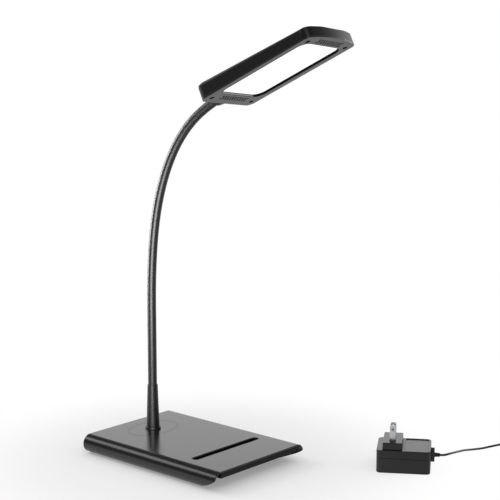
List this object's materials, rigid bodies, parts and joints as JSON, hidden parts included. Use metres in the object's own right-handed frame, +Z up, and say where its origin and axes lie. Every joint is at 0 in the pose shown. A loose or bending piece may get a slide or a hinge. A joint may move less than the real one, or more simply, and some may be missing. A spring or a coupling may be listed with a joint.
{
  "type": "desk lamp",
  "caption": "Black desk lamp with a flexible neck, flat light panel head, rolled steel base with a phone slot, and a plug-in power adapter on a cord.",
  "frame": {"origin": "on the desk under the middle of the base", "axes": "+Z up, -Y towards the user, +X to the right seen from the front"},
  "size_m": [0.4175, 0.3758, 0.4698],
  "materials": {
    "base_steel": "satin black",
    "black_plastic": "fine matt",
    "bezel_plastic": "satin",
    "black_rubber": "matt",
    "steel": "plated",
    "nickel": "polished",
    "diffuser_white": "frosted, lit",
    "clear_acrylic": "polished",
    "reflector_white": "matt",
    "heat_aluminium": "mill",
    "led_yellow": "phosphor",
    "circuit_green": "solder mask",
    "touch_black": "gloss",
    "jack_black": "moulded",
    "coil_former": "tape",
    "lead_red": "smooth"
  },
  "bodies": {
    "base": {"base_shell": "base_steel", "bottom_cover": "black_plastic", "ballast_plate": "steel", "foot_front_left": "black_rubber", "foot_front_right": "black_rubber", "foot_back_left": "black_rubber", "foot_back_right": "black_rubber", "cover_screws": "steel", "slot_liner": "black_plastic", "stem_plate": "base_steel", "stem_bracket": "steel", "dc_jack": "jack_black", "control_board": "circuit_green", "stem_stud": "steel", "stem_washer": "steel", "stem_nut": "steel", "ferrule_flange": "black_plastic", "stem_ferrule": "black_plastic", "neck_sleeve": "black_rubber", "neck_lead": "lead_red", "neck_core_1": "steel", "adapter_lower_case": "black_plastic", "adapter_upper_case": "black_plastic", "plug_block": "black_plastic", "plug_blade_front": "nickel", "plug_blade_rear": "nickel", "adapter_board": "circuit_green", "transformer": "coil_former", "strain_relief": "black_rubber", "power_cord": "black_rubber", "cord_coil": "black_rubber", "cord_tie": "black_plastic", "plug_cord": "black_rubber", "dc_plug_grip": "black_rubber", "dc_plug_barrel": "nickel"},
    "neck_link_2": {"neck_core_2": "steel"},
    "neck_link_3": {"neck_core_3": "steel"},
    "neck_link_4": {"neck_core_4": "steel"},
    "neck_link_5": {"neck_core_5": "steel"},
    "neck_link_6": {"neck_core_6": "steel"},
    "neck_link_7": {"neck_core_7": "steel"},
    "neck_link_8": {"neck_core_8": "steel"},
    "neck_link_9": {"neck_core_9": "steel"},
    "neck_link_10": {"neck_core_10": "steel"},
    "neck_link_11": {"neck_core_11": "steel"},
    "neck_link_12": {"neck_core_12": "steel", "neck_nut": "steel"},
    "head": {"neck_collar": "black_plastic", "head_housing": "black_plastic", "head_bezel": "bezel_plastic", "diffuser": "diffuser_white", "light_guide": "clear_acrylic", "reflector_sheet": "reflector_white", "led_strip_left": "led_yellow", "led_strip_right": "led_yellow", "heat_plate": "heat_aluminium", "touch_panel": "touch_black", "touch_board": "circuit_green", "bezel_screws": "steel"}
  },
  "joints": [
    {"name": "neck_lower_bend", "type": "hinge", "parent": "base", "child": "neck_link_2", "pos_m": [0, 0.0616, 0.10205], "axis": [0.9877, 0.1564, 0], "range_deg": [-12, 10], "deforming": ["neck_sleeve", "neck_lead"]},
    {"name": "neck_sway", "type": "hinge", "parent": "neck_link_2", "child": "neck_link_3", "pos_m": [0, 0.0616, 0.1319], "axis": [-0.1564, 0.9877, 0], "range_deg": [-8, 8], "deforming": ["neck_sleeve", "neck_lead"]},
    {"name": "neck_lower_bend_2", "type": "hinge", "parent": "neck_link_3", "child": "neck_link_4", "pos_m": [0, 0.0616, 0.16175], "axis": [0.9877, 0.1564, 0], "range_deg": [-12, 10]},
    {"name": "neck_sway_2", "type": "hinge", "parent": "neck_link_4", "child": "neck_link_5", "pos_m": [0.00008, 0.06109, 0.19159], "axis": [-0.1563, 0.9871, 0.0349], "range_deg": [-8, 8]},
    {"name": "neck_lower_bend_3", "type": "hinge", "parent": "neck_link_5", "child": "neck_link_6", "pos_m": [0.00035, 0.05941, 0.22139], "axis": [0.9877, 0.1564, 0], "range_deg": [-12, 10]},
    {"name": "neck_sway_3", "type": "hinge", "parent": "neck_link_6", "child": "neck_link_7", "pos_m": [0.00085, 0.0562, 0.25106], "axis": [-0.1549, 0.9781, 0.1392], "range_deg": [-8, 8]},
    {"name": "neck_upper_bend", "type": "hinge", "parent": "neck_link_7", "child": "neck_link_8", "pos_m": [0.00172, 0.05071, 0.28038], "axis": [0.9877, 0.1564, 0], "range_deg": [-18, 20], "deforming": ["neck_sleeve", "neck_lead"]},
    {"name": "neck_sway_4", "type": "hinge", "parent": "neck_link_8", "child": "neck_link_9", "pos_m": [0.00307, 0.04222, 0.30895], "axis": [-0.147, 0.9281, 0.342], "range_deg": [-8, 8]},
    {"name": "neck_upper_bend_2", "type": "hinge", "parent": "neck_link_9", "child": "neck_link_10", "pos_m": [0.00499, 0.03012, 0.33614], "axis": [0.9877, 0.1564, 0], "range_deg": [-18, 20]},
    {"name": "neck_sway_5", "type": "hinge", "parent": "neck_link_10", "child": "neck_link_11", "pos_m": [0.00761, 0.01355, 0.36077], "axis": [-0.1198, 0.7566, 0.6428], "range_deg": [-8, 8]},
    {"name": "neck_upper_bend_3", "type": "hinge", "parent": "neck_link_11", "child": "neck_link_12", "pos_m": [0.011, -0.00787, 0.38117], "axis": [0.9877, 0.1564, 0], "range_deg": [-18, 20]},
    {"name": "head_twist", "type": "hinge", "parent": "neck_link_12", "child": "head", "pos_m": [0.01497, -0.03291, 0.39686], "axis": [0.1394, -0.88, 0.454], "range_deg": [-30, 30]}
  ],
  "couplings": [
    {"joint": "neck_lower_bend_2", "follows": "neck_lower_bend", "ratio": 1},
    {"joint": "neck_sway_2", "follows": "neck_sway", "ratio": 1},
    {"joint": "neck_lower_bend_3", "follows": "neck_lower_bend", "ratio": 1},
    {"joint": "neck_sway_3", "follows": "neck_sway", "ratio": 1},
    {"joint": "neck_sway_4", "follows": "neck_sway", "ratio": 1},
    {"joint": "neck_upper_bend_2", "follows": "neck_upper_bend", "ratio": 1},
    {"joint": "neck_sway_5", "follows": "neck_sway", "ratio": 1},
    {"joint": "neck_upper_bend_3", "follows": "neck_upper_bend", "ratio": 1}
  ]
}
